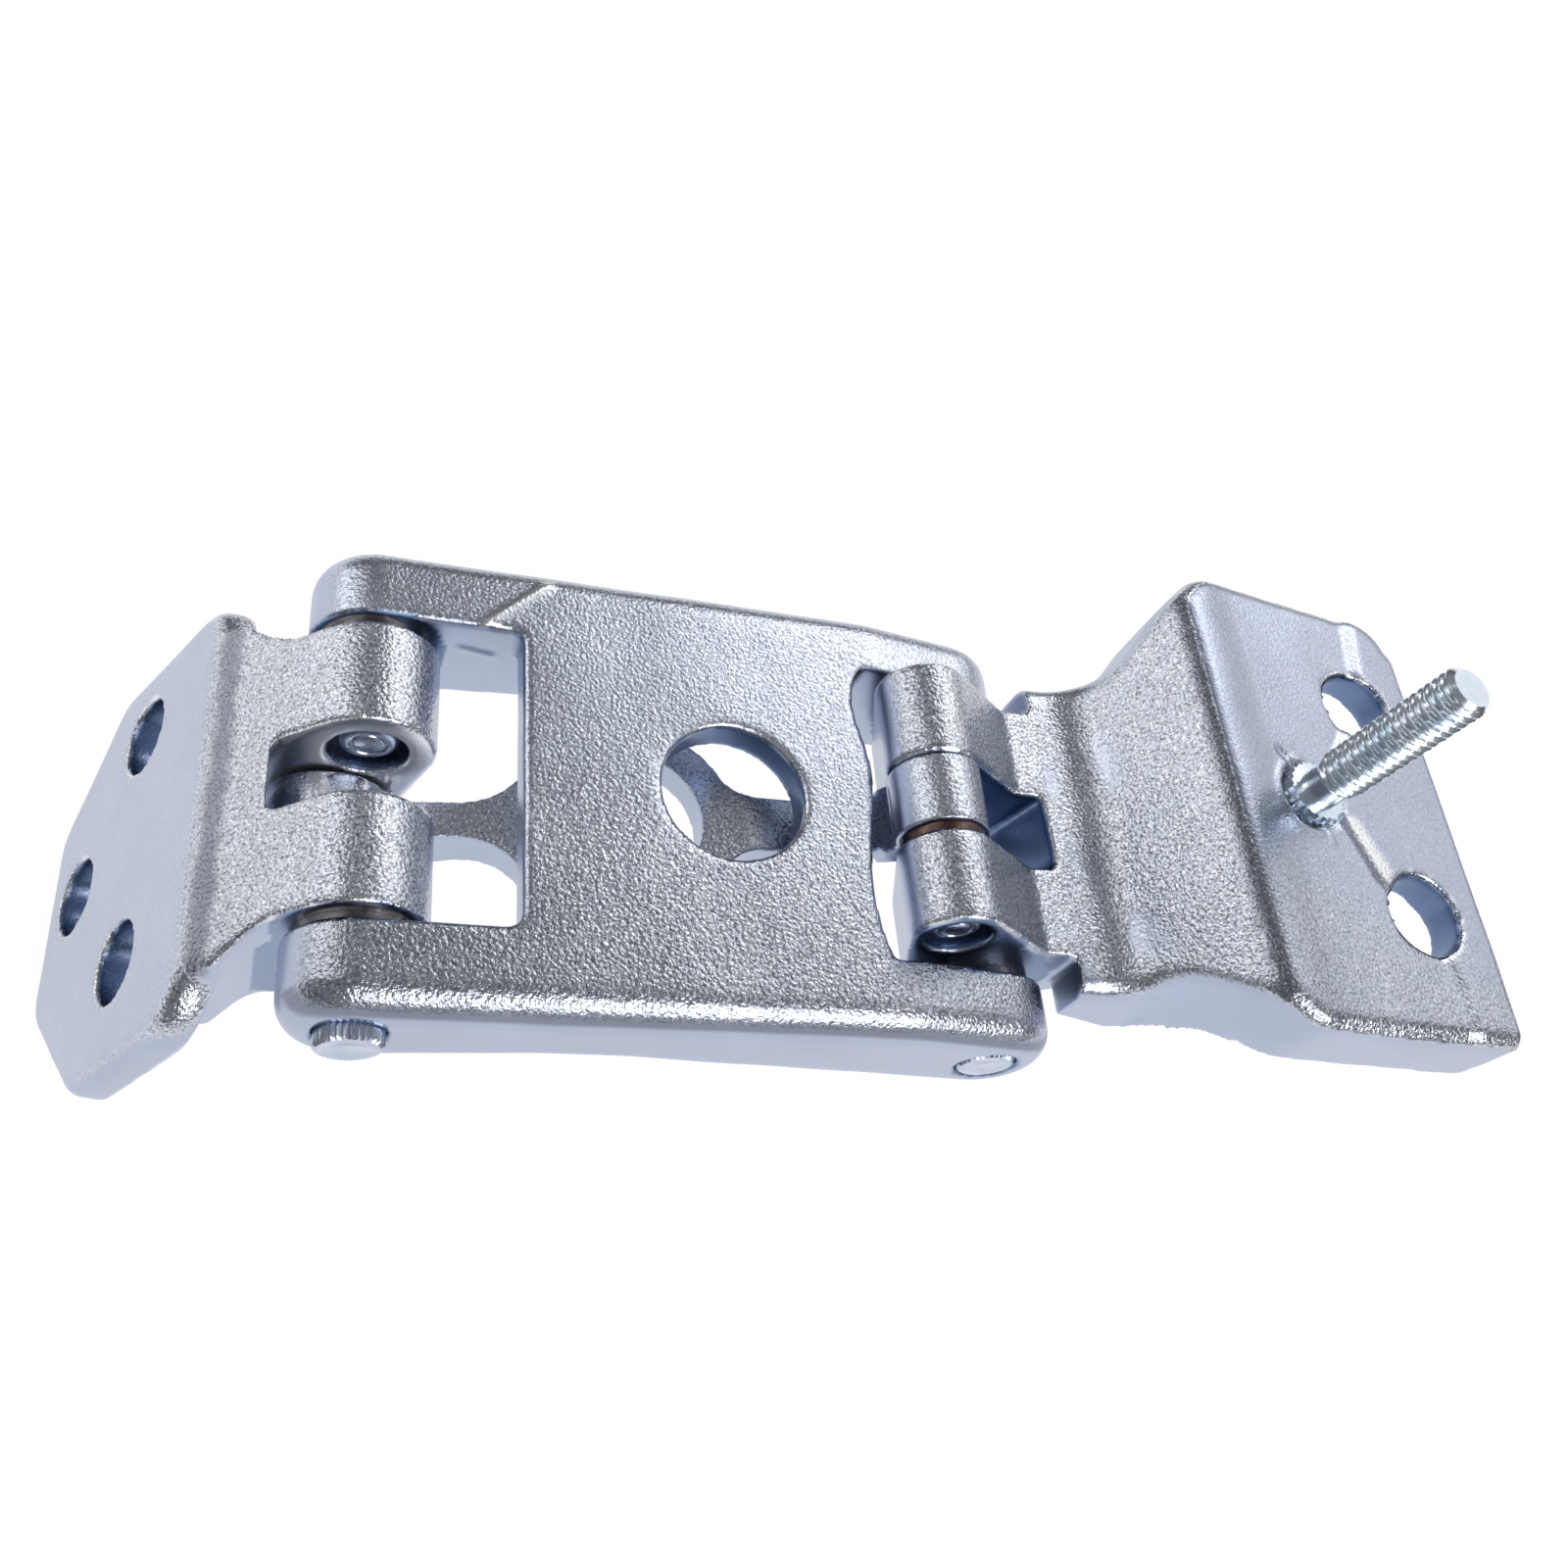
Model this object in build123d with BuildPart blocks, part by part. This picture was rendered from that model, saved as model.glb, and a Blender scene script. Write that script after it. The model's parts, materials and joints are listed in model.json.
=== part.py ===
from build123d import *
import math
import os

os.makedirs("parts", exist_ok=True)

# Tailgate hinge: a crossing four-bar linkage of four zinc-plated castings on five steel pins.
# Frame: origin on the right bracket's fixing face, midway between its two bolt holes, +X from the
# left bracket towards that face, +Y along the pivots, +Z out of the main link's top plate.
# All sizes are in millimetres, and side positions are (x, z) pairs.

# Main link: a plate with two side arms
hole_to_bolts = 79.2
link_drop = 11.5
hole_r = 8.1
hole_edge_r = 0.4
top_plate = 4.4
link_half = 26.7
arm_inner = 17.3
mouth_half = 18.4
window_back = 22.8
window_corner_r = 1.4
mouth_front = 16.2
mouth_wave = 0.8
crown_back = 14.0
crown_drop = 12.3
crown_r = 60.0
shoulder_front = 19.0
shoulder_r = 20.0
link_edge_r = 3.6
c_end_r = 7.2
c_end_front = 0.3
b_end_r = 7.5

# Pivot axes, measured from the main link's hole and its top face
c_back = 37.8
c_drop = 6.7
b_front = 30.5
b_drop = 9.4
a_front = 23.8
a_rise = 0.9
d_back = 41.0
d_drop = 16.6

# Stub pins at C and B, through pins at A and D
stub_r = 3.25
stub_recess = 1.0
stub_chamfer = 0.8
knurl_proud = 0.18
knurl_length = 2.2
knurl_teeth = 32
knurl_gap = 0.03
knurl_end = 0.3
head_proud = 1.4
pin_a_r = 2.85
pin_d_r = 2.6
pin_d_recess = 0.6
pin_chamfer = 0.6
open_pivot_gap = 1.9

# Bushes and washers
running_gap = 0.05
bush_wall = 0.8
bush_split = 0.4
flange_r = 6.2
flange_c = 0.5
flange_b = 0.9
flange_a_r = 4.8
flange_a = 0.95
bush_recess = 2.5
washer_c = 0.65
washer_b = 1.25
side_play = 0.05

# Left bracket
barrel_r = 7.0
slot_half = 3.9
slot_top_back = 9.2
knuckle_room = 2.2
ear_r = 7.3
web_slope = 40.0
web_foot = 12.5
web_lip = 0.4
flare_back = 9.0
flare_half = 20.0
web_flare_r = 5.0
ridge_back = 15.8
left_tilt = 66.0
left_plate = 4.4
left_half = 24.6
left_straight = 26.0
left_long = 41.2
left_end_half = 11.5
left_corner_near = 6.5
left_corner_far = 3.0
left_corner_low = 6.0
left_edge_r = 1.9
left_bolt_r = 4.5
left_bolt_far = 15.5
left_bolt_far_down = 18.0
left_bolt_near = 12.5
left_bolt_near_down = 17.0
left_bolt_end = 8.7
left_bolt_end_far = 1.0

# Inner link
knuckle_d_r = 6.6
knuckle_d_half = 3.5
knuckle_d_side = 32.0
knuckle_a_r = 5.3
knuckle_a_half = 4.15
knuckle_a_side = 215.0
neck_d_half = 2.2
neck_a_half = 3.4
ring_back = 10.0
ring_drop = 8.9
ring_outer_r = 12.4
ring_opening_r = 8.6
ring_thick = 3.9
ring_foot_front = 5.0
ring_foot_back = 20.0
level_drop = 6.6
level_front = 12.7
neck_front = 16.9
neck_drop = 5.9
flare_d_r = 8.0
flare_a_r = 5.0

# Right bracket
a_barrel_r = 5.4
b_lobe_r = 7.9
lobe_shoulder = 5.6
near_barrel_gap = 1.05
far_barrel_gap = 0.08
slot_end_gap = 8.9
slot_end_lean = 13.0
body_start = 9.5
body_half = 20.6
body_lap = 5.0
waist_long = 10.2
waist_flare = 0.2
waist_r = 2.5
valley_drop = 13.0
valley_back = 33.5
valley_r = 7.0
crest_back = 24.0
crest_r = 3.0
wing_far_out = 10.2
wing_far_back = 1.7
wing_far_step = 5.0
wing_far_front = 3.6
wing_far_taper = 2.3
wing_near_out = 8.3
wing_near_back = 0.9
wing_near_step = 3.5
wing_near_front = 3.4
wing_near_spread = 0.7
wing_r = 6.0
plate_tilt = 4.5
right_plate = 4.8
plate_front = 9.0
near_corner_r = 3.0
far_corner_r = 5.5
right_edge_r = 2.2
rim_foot_deep = 10.4
rim_front_deep = 9.8
rim_foot_r = 8.0
rim_front_r = 1.5
rim_wall = 4.5
pocket_back = 17.0
pocket_corner_r = 3.0
belly_drop = 23.6
belly_back = 29.3
belly_foot = 23.4
belly_rise = 3.8
belly_r = 2.5
right_bolt_r = 5.1
stud_to_bolts = 12.4
right_bolt_span = 28.0

# Fixing stud, thread size M6 x 1
stud_r = 3.0
stud_long = 23.5
stud_neck_r = 2.55
stud_neck = 3.6
collar_r = 3.8
collar_high = 0.9
collar_teeth = 24
collar_tooth = 0.35
collar_gap = 0.4
collar_seat = 0.7
stud_tip = 0.7

# The places that the rest hangs on
hole_x = -hole_to_bolts
link_top = -link_drop
axis_c = (hole_x - c_back, link_top - c_drop)
axis_b = (hole_x + b_front, link_top - b_drop)
axis_a = (hole_x + a_front, link_top + a_rise)
axis_d = (hole_x - d_back, link_top - d_drop)
lobe_half = arm_inner - washer_c - side_play - flange_c
right_lobe_half = mouth_half - washer_b - side_play - flange_b
plate_near = body_half + wing_near_out
plate_near_end = plate_near + wing_near_spread
plate_far = body_half + wing_far_out
plate_far_end = plate_far - wing_far_taper
ridge_z = axis_c[1] + barrel_r / math.cos(math.radians(web_slope)) - ridge_back * math.tan(
    math.radians(web_slope)
)
far_out = 60.0


# A point at a given distance and angle from a centre
def polar(centre, radius, angle):
    turn = math.radians(angle)
    return (centre[0] + radius * math.cos(turn), centre[1] + radius * math.sin(turn))


# The point where a line from outside touches a circle; side is 1 or -1
def touch(centre, radius, outside, side):
    away = (outside[0] - centre[0], outside[1] - centre[1])
    reach = math.hypot(away[0], away[1])
    angle = math.degrees(math.atan2(away[1], away[0]))
    return polar(centre, radius, angle + side * math.degrees(math.acos(radius / reach)))


# The two points of the line that touches two circles on the same side
def belt(centre_1, radius_1, centre_2, radius_2, side):
    gap = (centre_2[0] - centre_1[0], centre_2[1] - centre_1[1])
    reach = math.hypot(gap[0], gap[1])
    angle = math.degrees(math.atan2(gap[1], gap[0]))
    lean = math.degrees(math.acos((radius_1 - radius_2) / reach))
    turn = angle + side * lean
    return polar(centre_1, radius_1, turn), polar(centre_2, radius_2, turn)


# The sketch plane across the pivots at a place along them; extruding from it comes nearer
def side_plane(y):
    return Plane.XZ.offset(-y)


# A plane across a pivot, with its own origin on the axis and its normal away from the viewer
def pivot_plane(axis, y):
    return Plane(origin=(axis[0], y, axis[1]), x_dir=(1, 0, 0), z_dir=(0, 1, 0))


# The outline of a knurled head: teeth all round a circle
def toothed(radius, height, teeth):
    points = []
    for tooth in range(teeth):
        points.append(polar((0, 0), radius + height, 360 * tooth / teeth))
        points.append(polar((0, 0), radius, 360 * (tooth + 0.5) / teeth))
    return points


# Main link
crown = (hole_x - crown_back, link_top - crown_drop)
link_shoulder = (hole_x + shoulder_front, link_top)
c_end = (axis_c[0] + c_end_front, link_top - c_end_r)
with BuildPart() as main_link:
    with BuildSketch(Plane.XZ) as link_side:
        with BuildLine():
            b_top = touch(axis_b, b_end_r, link_shoulder, -1)
            b_low = touch(axis_b, b_end_r, crown, 1)
            c_low = touch(c_end, c_end_r, crown, -1)
            c_top = polar(c_end, c_end_r, 90)
            Polyline(c_top, link_shoulder, b_top)
            ThreePointArc(b_top, polar(axis_b, b_end_r, 0), b_low)
            Polyline(b_low, crown, c_low)
            ThreePointArc(c_low, polar(c_end, c_end_r, 180), c_top)
        make_face()
        fillet(link_side.vertices().sort_by_distance(crown)[0], radius=crown_r)
        fillet(link_side.vertices().sort_by_distance(link_shoulder)[0], radius=shoulder_r)
    extrude(amount=link_half, both=True)
    outer_rims = main_link.faces().filter_by(Axis.Y)
    fillet(outer_rims.edges(), radius=link_edge_r)
    # The channel under the top plate, open at both ends
    with BuildSketch(Plane.XY.offset(link_top - top_plate)):
        with Locations((hole_x, 0)):
            Rectangle(4 * far_out, 2 * arm_inner)
    extrude(amount=-far_out, mode=Mode.SUBTRACT)
    # The left window, open towards the left bracket
    with BuildSketch(Plane.XY.offset(link_top + far_out)) as window:
        with Locations((hole_x - window_back, 0)):
            Rectangle(far_out, 2 * arm_inner, align=(Align.MAX, Align.CENTER))
        fillet(window.vertices().group_by(Axis.X)[-1], radius=window_corner_r)
    extrude(amount=-3 * far_out, mode=Mode.SUBTRACT)
    # The right mouth, whose cast edge runs a little in and out
    mouth_x = hole_x + mouth_front
    with BuildSketch(Plane.XY.offset(link_top + far_out)) as mouth:
        with BuildLine():
            wavy = Spline(
                (mouth_x + mouth_wave, mouth_half),
                (mouth_x - mouth_wave, 0.68 * mouth_half),
                (mouth_x + 0.3 * mouth_wave, 0.4 * mouth_half),
                (mouth_x - 0.9 * mouth_wave, -0.33 * mouth_half),
                (mouth_x + 0.6 * mouth_wave, -mouth_half),
            )
            Polyline(
                wavy @ 1,
                (mouth_x + far_out, -mouth_half),
                (mouth_x + far_out, mouth_half),
                wavy @ 0,
            )
        make_face()
    extrude(amount=-3 * far_out, mode=Mode.SUBTRACT)
    # The round hole
    with BuildSketch(Plane.XY.offset(link_top)):
        with Locations((hole_x, 0)):
            Circle(hole_r)
    extrude(amount=-far_out, mode=Mode.SUBTRACT)
    plate_rims = main_link.faces().filter_by(Axis.Z).sort_by(Axis.Z)[-1]
    hole_rim = plate_rims.edges().filter_by(GeomType.CIRCLE).sort_by_distance((hole_x, 0, link_top))
    fillet(hole_rim[0], radius=hole_edge_r)
    # Bores for the stub pins, with seats for their knurls
    for axis, near_proud in ((axis_c, head_proud), (axis_b, 0.0)):
        with BuildSketch(side_plane(0)):
            with Locations(axis):
                Circle(stub_r)
        extrude(amount=far_out, both=True, mode=Mode.SUBTRACT)
        for side, proud in ((-1, near_proud), (1, 0.0)):
            with BuildSketch(pivot_plane(axis, side * link_half)):
                Circle(stub_r + knurl_proud + knurl_gap)
            extrude(amount=-side * (knurl_length - proud), mode=Mode.SUBTRACT)
main_link.part.label = "main_link"
export_step(main_link.part, "parts/main_link.step")

# Left bracket: two barrels about C over two ears about D, with a bent mounting plate
left_down = Vector(
    -math.cos(math.radians(left_tilt)), 0, -math.sin(math.radians(left_tilt))
)
left_out = Vector(
    -math.sin(math.radians(left_tilt)), 0, math.cos(math.radians(left_tilt))
)
ridge = (axis_c[0] - ridge_back, ridge_z)
left_face = Plane(origin=(ridge[0], 0, ridge[1]), x_dir=(0, 1, 0), z_dir=left_out)


# A side point given by its distance down the left plate and in from its outer face
def on_left_plate(down, depth):
    return (
        ridge[0] + down * left_down.X - depth * left_out.X,
        ridge[1] + down * left_down.Z - depth * left_out.Z,
    )


ear_bore_r = stub_r
# The web with its barrels and ears, which flares out towards the plate
with BuildPart() as left_web:
    with BuildSketch(Plane.XZ) as web_side:
        with BuildLine():
            web_top = polar(axis_c, barrel_r, 90 + web_slope)
            c_right, d_right = belt(axis_c, barrel_r, axis_d, ear_r, 1)
            web_back = on_left_plate(web_foot, left_plate / 2)
            web_low = on_left_plate(web_foot, left_plate + web_lip)
            d_low = touch(axis_d, ear_r, web_low, 1)
            Polyline(web_top, on_left_plate(web_lip, web_lip), web_back, web_low, d_low)
            ThreePointArc(d_low, polar(axis_d, ear_r, -40), d_right)
            Line(d_right, c_right)
            ThreePointArc(c_right, polar(axis_c, barrel_r, 70), web_top)
        make_face()
    extrude(amount=flare_half, both=True)
    with BuildSketch(Plane.XY.offset(far_out)) as web_plan:
        flare_x = axis_c[0] - flare_back
        wide_x = flare_x - (flare_half - lobe_half)
        with BuildLine():
            Polyline(
                (axis_c[0] + far_out, lobe_half),
                (flare_x, lobe_half),
                (wide_x, flare_half),
                (wide_x - far_out, flare_half),
                (wide_x - far_out, -flare_half),
                (wide_x, -flare_half),
                (flare_x, -lobe_half),
                (axis_c[0] + far_out, -lobe_half),
                close=True,
            )
        make_face()
        for side in (-1, 1):
            bend = (flare_x, side * lobe_half)
            fillet(web_plan.vertices().sort_by_distance(bend)[0], radius=web_flare_r)
    extrude(amount=-3 * far_out, mode=Mode.INTERSECT)

with BuildPart() as left_bracket:
    # The plate
    with BuildSketch(left_face) as left_outline:
        with BuildLine():
            Polyline(
                (-left_half, 0),
                (left_half, 0),
                (left_half, left_straight),
                (left_end_half, left_long),
                (-left_end_half, left_long),
                (-left_half, left_straight),
                close=True,
            )
        make_face()
        fillet(left_outline.vertices().group_by(Axis.Y)[-1], radius=left_corner_low)
        fillet(
            left_outline.vertices().sort_by_distance((left_half, left_straight))[0],
            radius=left_corner_low,
        )
        fillet(
            left_outline.vertices().sort_by_distance((-left_half, left_straight))[0],
            radius=left_corner_low,
        )
        fillet(left_outline.vertices().sort_by_distance((-left_half, 0))[0], radius=left_corner_near)
        fillet(left_outline.vertices().sort_by_distance((left_half, 0))[0], radius=left_corner_far)
    extrude(amount=-left_plate)
    fillet(left_bracket.faces().sort_by_distance(left_face.origin + left_down * 20)[0].edges(),
           radius=left_edge_r)
    add(left_web.part)
    # The slot between the barrels for the inner link
    slot_x = axis_d[0] - knuckle_d_r - knuckle_room
    slot_top = (
        axis_c[0] - slot_top_back,
        ridge_z + (ridge_back - slot_top_back) * math.tan(math.radians(web_slope)),
    )
    with BuildSketch(Plane.XZ):
        with BuildLine():
            Polyline(
                (slot_top[0], slot_top[1] + far_out),
                slot_top,
                (slot_x, axis_d[1]),
                (slot_x, axis_d[1] - far_out),
                (axis_c[0] + far_out, axis_d[1] - far_out),
                (axis_c[0] + far_out, slot_top[1] + far_out),
                close=True,
            )
        make_face()
    extrude(amount=slot_half, both=True, mode=Mode.SUBTRACT)
    # Pivot bores and bolt holes
    with BuildSketch(Plane.XZ):
        with Locations(axis_c):
            Circle(stub_r + running_gap + bush_wall)
        with Locations(axis_d):
            Circle(ear_bore_r)
    extrude(amount=far_out, both=True, mode=Mode.SUBTRACT)
    with BuildSketch(left_face):
        with Locations(
            (left_bolt_far, left_bolt_far_down),
            (left_bolt_end_far, left_long - left_bolt_end),
            (-left_bolt_near, left_bolt_near_down),
        ):
            Circle(left_bolt_r)
    extrude(amount=-2 * left_plate, mode=Mode.SUBTRACT)
left_bracket.part.label = "left_bracket"
export_step(left_bracket.part, "parts/left_bracket.step")

# Inner link: knuckles about D and A, joined by a bar that opens into a ring
ring_x = hole_x - ring_back
ring_top = (ring_x, link_top - ring_drop)
d_side = polar(axis_d, knuckle_d_r, knuckle_d_side)
bar_rise = (ring_top[1] - d_side[1]) / (ring_top[0] - d_side[0])
level_z = link_top - level_drop
with BuildPart() as inner_link:
    with BuildSketch(Plane.XZ) as bar_side:
        with BuildLine():
            level_start = (ring_top[0] + (level_z - ring_top[1]) / bar_rise, level_z)
            a_side = polar(axis_a, knuckle_a_r, knuckle_a_side)
            ring_foot_a = (hole_x + ring_foot_front, level_z - ring_thick)
            foot_d_x = hole_x - ring_foot_back
            ring_foot_d = (foot_d_x, ring_top[1] + bar_rise * (foot_d_x - ring_x) - ring_thick)
            a_low = touch(axis_a, knuckle_a_r, ring_foot_a, 1)
            d_low = touch(axis_d, knuckle_d_r, ring_foot_d, -1)
            Polyline(
                d_side,
                level_start,
                (hole_x + level_front, level_z),
                (hole_x + neck_front, link_top - neck_drop),
                a_side,
            )
            ThreePointArc(a_side, polar(axis_a, knuckle_a_r, 60), a_low)
            Polyline(a_low, ring_foot_a, ring_foot_d, d_low)
            ThreePointArc(d_low, polar(axis_d, knuckle_d_r, 160), d_side)
        make_face()
    extrude(amount=ring_outer_r, both=True)
    with BuildSketch(Plane.XY.offset(link_top + far_out)) as bar_plan:
        with Locations((ring_x, 0)):
            Circle(ring_outer_r)
        with Locations((ring_x, 0)):
            Rectangle(far_out, 2 * neck_d_half, align=(Align.MAX, Align.CENTER))
            Rectangle(far_out, 2 * neck_a_half, align=(Align.MIN, Align.CENTER))
        fillet(
            bar_plan.vertices().filter_by(
                lambda corner: ring_x - ring_outer_r - 1 < corner.X < ring_x - 5
            ),
            radius=flare_d_r,
        )
        fillet(
            bar_plan.vertices().filter_by(
                lambda corner: ring_x + 5 < corner.X < ring_x + ring_outer_r + 1
            ),
            radius=flare_a_r,
        )
        with Locations((axis_d[0] + 1.0, 0)):
            Rectangle(far_out, 2 * knuckle_d_half, align=(Align.MAX, Align.CENTER))
        with Locations((axis_d[0], 0)):
            Rectangle(2 * knuckle_d_r, 2 * knuckle_d_half)
        with Locations((axis_a[0] - knuckle_a_r, 0)):
            Rectangle(far_out, 2 * knuckle_a_half, align=(Align.MIN, Align.CENTER))
        with Locations((ring_x, 0)):
            Circle(ring_opening_r, mode=Mode.SUBTRACT)
    extrude(amount=-3 * far_out, mode=Mode.INTERSECT)
    with BuildSketch(Plane.XZ):
        with Locations(axis_a):
            Circle(pin_a_r)
        with Locations(axis_d):
            Circle(pin_d_r + open_pivot_gap)
    extrude(amount=far_out, both=True, mode=Mode.SUBTRACT)
inner_link.part.label = "inner_link"
export_step(inner_link.part, "parts/inner_link.step")

# Right bracket: barrels about A over lobes about B, a body and a fixing plate
tilt = math.radians(plate_tilt)
face_along = Vector(math.cos(tilt), 0, -math.sin(tilt))
face_out = Vector(math.sin(tilt), 0, math.cos(tilt))
fixing_face = Plane(origin=(0, 0, 0), x_dir=face_along, z_dir=face_out)
stud_foot = Plane(origin=-stud_to_bolts * face_along, x_dir=face_along, z_dir=face_out)


# A side point given by its distance along the fixing face and its depth under it
def on_fixing_plate(along, depth):
    return (
        along * face_along.X - depth * face_out.X,
        along * face_along.Z - depth * face_out.Z,
    )


body_x = axis_b[0] + body_start
valley = (-valley_back, -valley_drop)
crest = on_fixing_plate(-crest_back, 0)
near_barrel = -(knuckle_a_half + near_barrel_gap)
far_barrel = knuckle_a_half + far_barrel_gap
belly = (-belly_back, -belly_drop)
body_foot = (body_x, belly[1] + belly_rise)
belly_slope = (belly[1] - body_foot[1]) / (belly[0] - body_foot[0])
lobe_foot = (body_x + body_lap, body_foot[1] + body_lap * belly_slope)
rim_foot = on_fixing_plate(-belly_foot, rim_foot_deep)
rim_front = on_fixing_plate(plate_front, rim_front_deep)
with BuildPart() as right_bracket:
    # The body and plate in side view
    with BuildSketch(Plane.XZ) as body_side:
        with BuildLine():
            Polyline(
                (body_x, valley[1]),
                valley,
                crest,
                on_fixing_plate(plate_front, 0),
                rim_front,
                rim_foot,
                belly,
                body_foot,
                close=True,
            )
        make_face()
        fillet(body_side.vertices().sort_by_distance(valley)[0], radius=valley_r)
        fillet(body_side.vertices().sort_by_distance(crest)[0], radius=crest_r)
        fillet(body_side.vertices().sort_by_distance(rim_foot)[0], radius=rim_foot_r)
        fillet(body_side.vertices().sort_by_distance(rim_front)[0], radius=rim_front_r)
        fillet(body_side.vertices().sort_by_distance(belly)[0], radius=belly_r)
    extrude(amount=far_out, both=True)
    # Its outline from above
    waist_x = body_x + waist_long
    wing_far = (crest[0] + wing_far_front, plate_far)
    wing_near = (crest[0] + wing_near_front, -plate_near)
    with BuildSketch(Plane.XY.offset(far_out)) as body_plan:
        with BuildLine():
            Polyline(
                (body_x, body_half),
                (waist_x, body_half + waist_flare),
                (crest[0] - wing_far_back, plate_far - wing_far_step),
                wing_far,
                (plate_front, plate_far_end),
                (plate_front, -plate_near_end),
                wing_near,
                (crest[0] - wing_near_back, wing_near_step - plate_near),
                (waist_x, -body_half - waist_flare),
                (body_x, -body_half),
                close=True,
            )
        make_face()
        corners = body_plan.vertices()
        fillet(corners.sort_by_distance((plate_front, plate_far_end))[0], radius=far_corner_r)
        fillet(corners.sort_by_distance((plate_front, -plate_near_end))[0], radius=near_corner_r)
        for side in (-1, 1):
            waist = (waist_x, side * (body_half + waist_flare))
            fillet(body_plan.vertices().sort_by_distance(waist)[0], radius=waist_r)
        for bend in (
            wing_far,
            (crest[0] - wing_far_back, plate_far - wing_far_step),
            wing_near,
            (crest[0] - wing_near_back, wing_near_step - plate_near),
        ):
            fillet(body_plan.vertices().sort_by_distance(bend)[0], radius=wing_r)
    extrude(amount=-3 * far_out, mode=Mode.INTERSECT)
    # Its rounded upper edges
    upright = right_bracket.faces().filter_by(
        lambda face: abs(face.normal_at(face.center()).Z) < 0.01 and face.center().X > body_x + 0.1
    )
    upper = right_bracket.faces().filter_by(lambda face: face.normal_at(face.center()).Z > 0.3)
    upper_ends = [edge.center() for edge in upper.edges()]
    rounded = upright.edges().filter_by(
        lambda edge: any((edge.center() - end).length < 0.001 for end in upper_ends)
    )
    fillet(rounded, radius=right_edge_r)
    # The pocket under the plate, between its two rims
    with BuildSketch(fixing_face.offset(-right_plate)) as pocket:
        with BuildLine():
            Polyline(
                (-pocket_back, plate_far - rim_wall),
                (far_out, plate_far - rim_wall),
                (far_out, rim_wall - plate_near),
                (-pocket_back, rim_wall - plate_near),
                close=True,
            )
        make_face()
        fillet(pocket.vertices().group_by(Axis.X)[0], radius=pocket_corner_r)
    extrude(amount=-far_out, mode=Mode.SUBTRACT)
    # The lobes and barrels
    with BuildSketch(Plane.XZ) as lobe_side:
        with BuildLine():
            a_left, b_left = belt(axis_a, a_barrel_r, axis_b, b_lobe_r, -1)
            b_low = touch(axis_b, b_lobe_r, lobe_foot, -1)
            shoulder = (axis_b[0] + lobe_shoulder, valley[1])
            a_right = touch(axis_a, a_barrel_r, shoulder, 1)
            Line(a_left, b_left)
            ThreePointArc(b_left, polar(axis_b, b_lobe_r, 225), b_low)
            Polyline(
                b_low,
                lobe_foot,
                (lobe_foot[0], valley[1]),
                shoulder,
                a_right,
            )
            ThreePointArc(a_right, polar(axis_a, a_barrel_r, 110), a_left)
        make_face()
    extrude(amount=right_lobe_half, both=True)
    # The slot between the barrels for the inner link
    slot_end = (axis_b[0] + slot_end_gap, valley[1])
    lean = math.tan(math.radians(slot_end_lean))
    with BuildSketch(side_plane(far_barrel)):
        with BuildLine():
            Polyline(
                (slot_end[0] + far_out / 2 * lean, slot_end[1] + far_out / 2),
                (slot_end[0] - far_out / 2 * lean, slot_end[1] - far_out / 2),
                (slot_end[0] - far_out, slot_end[1] - far_out / 2),
                (slot_end[0] - far_out, slot_end[1] + far_out / 2),
                close=True,
            )
        make_face()
    extrude(amount=far_barrel - near_barrel, mode=Mode.SUBTRACT)
    # Pivot bores
    with BuildSketch(Plane.XZ):
        with Locations(axis_a):
            Circle(pin_a_r + running_gap + bush_wall)
        with Locations(axis_b):
            Circle(stub_r + running_gap + bush_wall)
    extrude(amount=far_out, both=True, mode=Mode.SUBTRACT)
    # Bolt holes, and the stud's bore with its ringed recess
    with BuildSketch(fixing_face):
        with GridLocations(0, right_bolt_span, 1, 2):
            Circle(right_bolt_r)
        with Locations((-stud_to_bolts, 0)):
            Circle(stud_r)
    extrude(amount=-2 * right_plate, mode=Mode.SUBTRACT)
    with BuildSketch(stud_foot):
        Circle(collar_r + collar_gap)
    extrude(amount=-collar_seat, mode=Mode.SUBTRACT)
right_bracket.part.label = "right_bracket"
export_step(right_bracket.part, "parts/right_bracket.step")

# Fixing stud: a pressed shank, a splined collar, a neck and the thread's outer cylinder
with BuildPart() as fixing_stud:
    with BuildSketch(stud_foot.offset(-right_plate)):
        Circle(stud_r)
    extrude(amount=right_plate - collar_seat)
    with BuildSketch(stud_foot.offset(-collar_seat)):
        with BuildLine():
            Polyline(*toothed(collar_r - collar_tooth, collar_tooth, collar_teeth), close=True)
        make_face()
    extrude(amount=collar_seat + collar_high)
    with BuildSketch(stud_foot.offset(collar_high)):
        Circle(stud_neck_r)
    extrude(amount=stud_neck - collar_high)
    with BuildSketch(stud_foot.offset(stud_neck)):
        Circle(stud_r)
    extrude(amount=stud_long - stud_neck)
    chamfer(
        fixing_stud.edges().filter_by(GeomType.CIRCLE).sort_by(Axis.Z)[-1],
        length=stud_tip,
    )
fixing_stud.part.label = "fixing_stud"
export_step(fixing_stud.part, "parts/fixing_stud.step")


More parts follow.
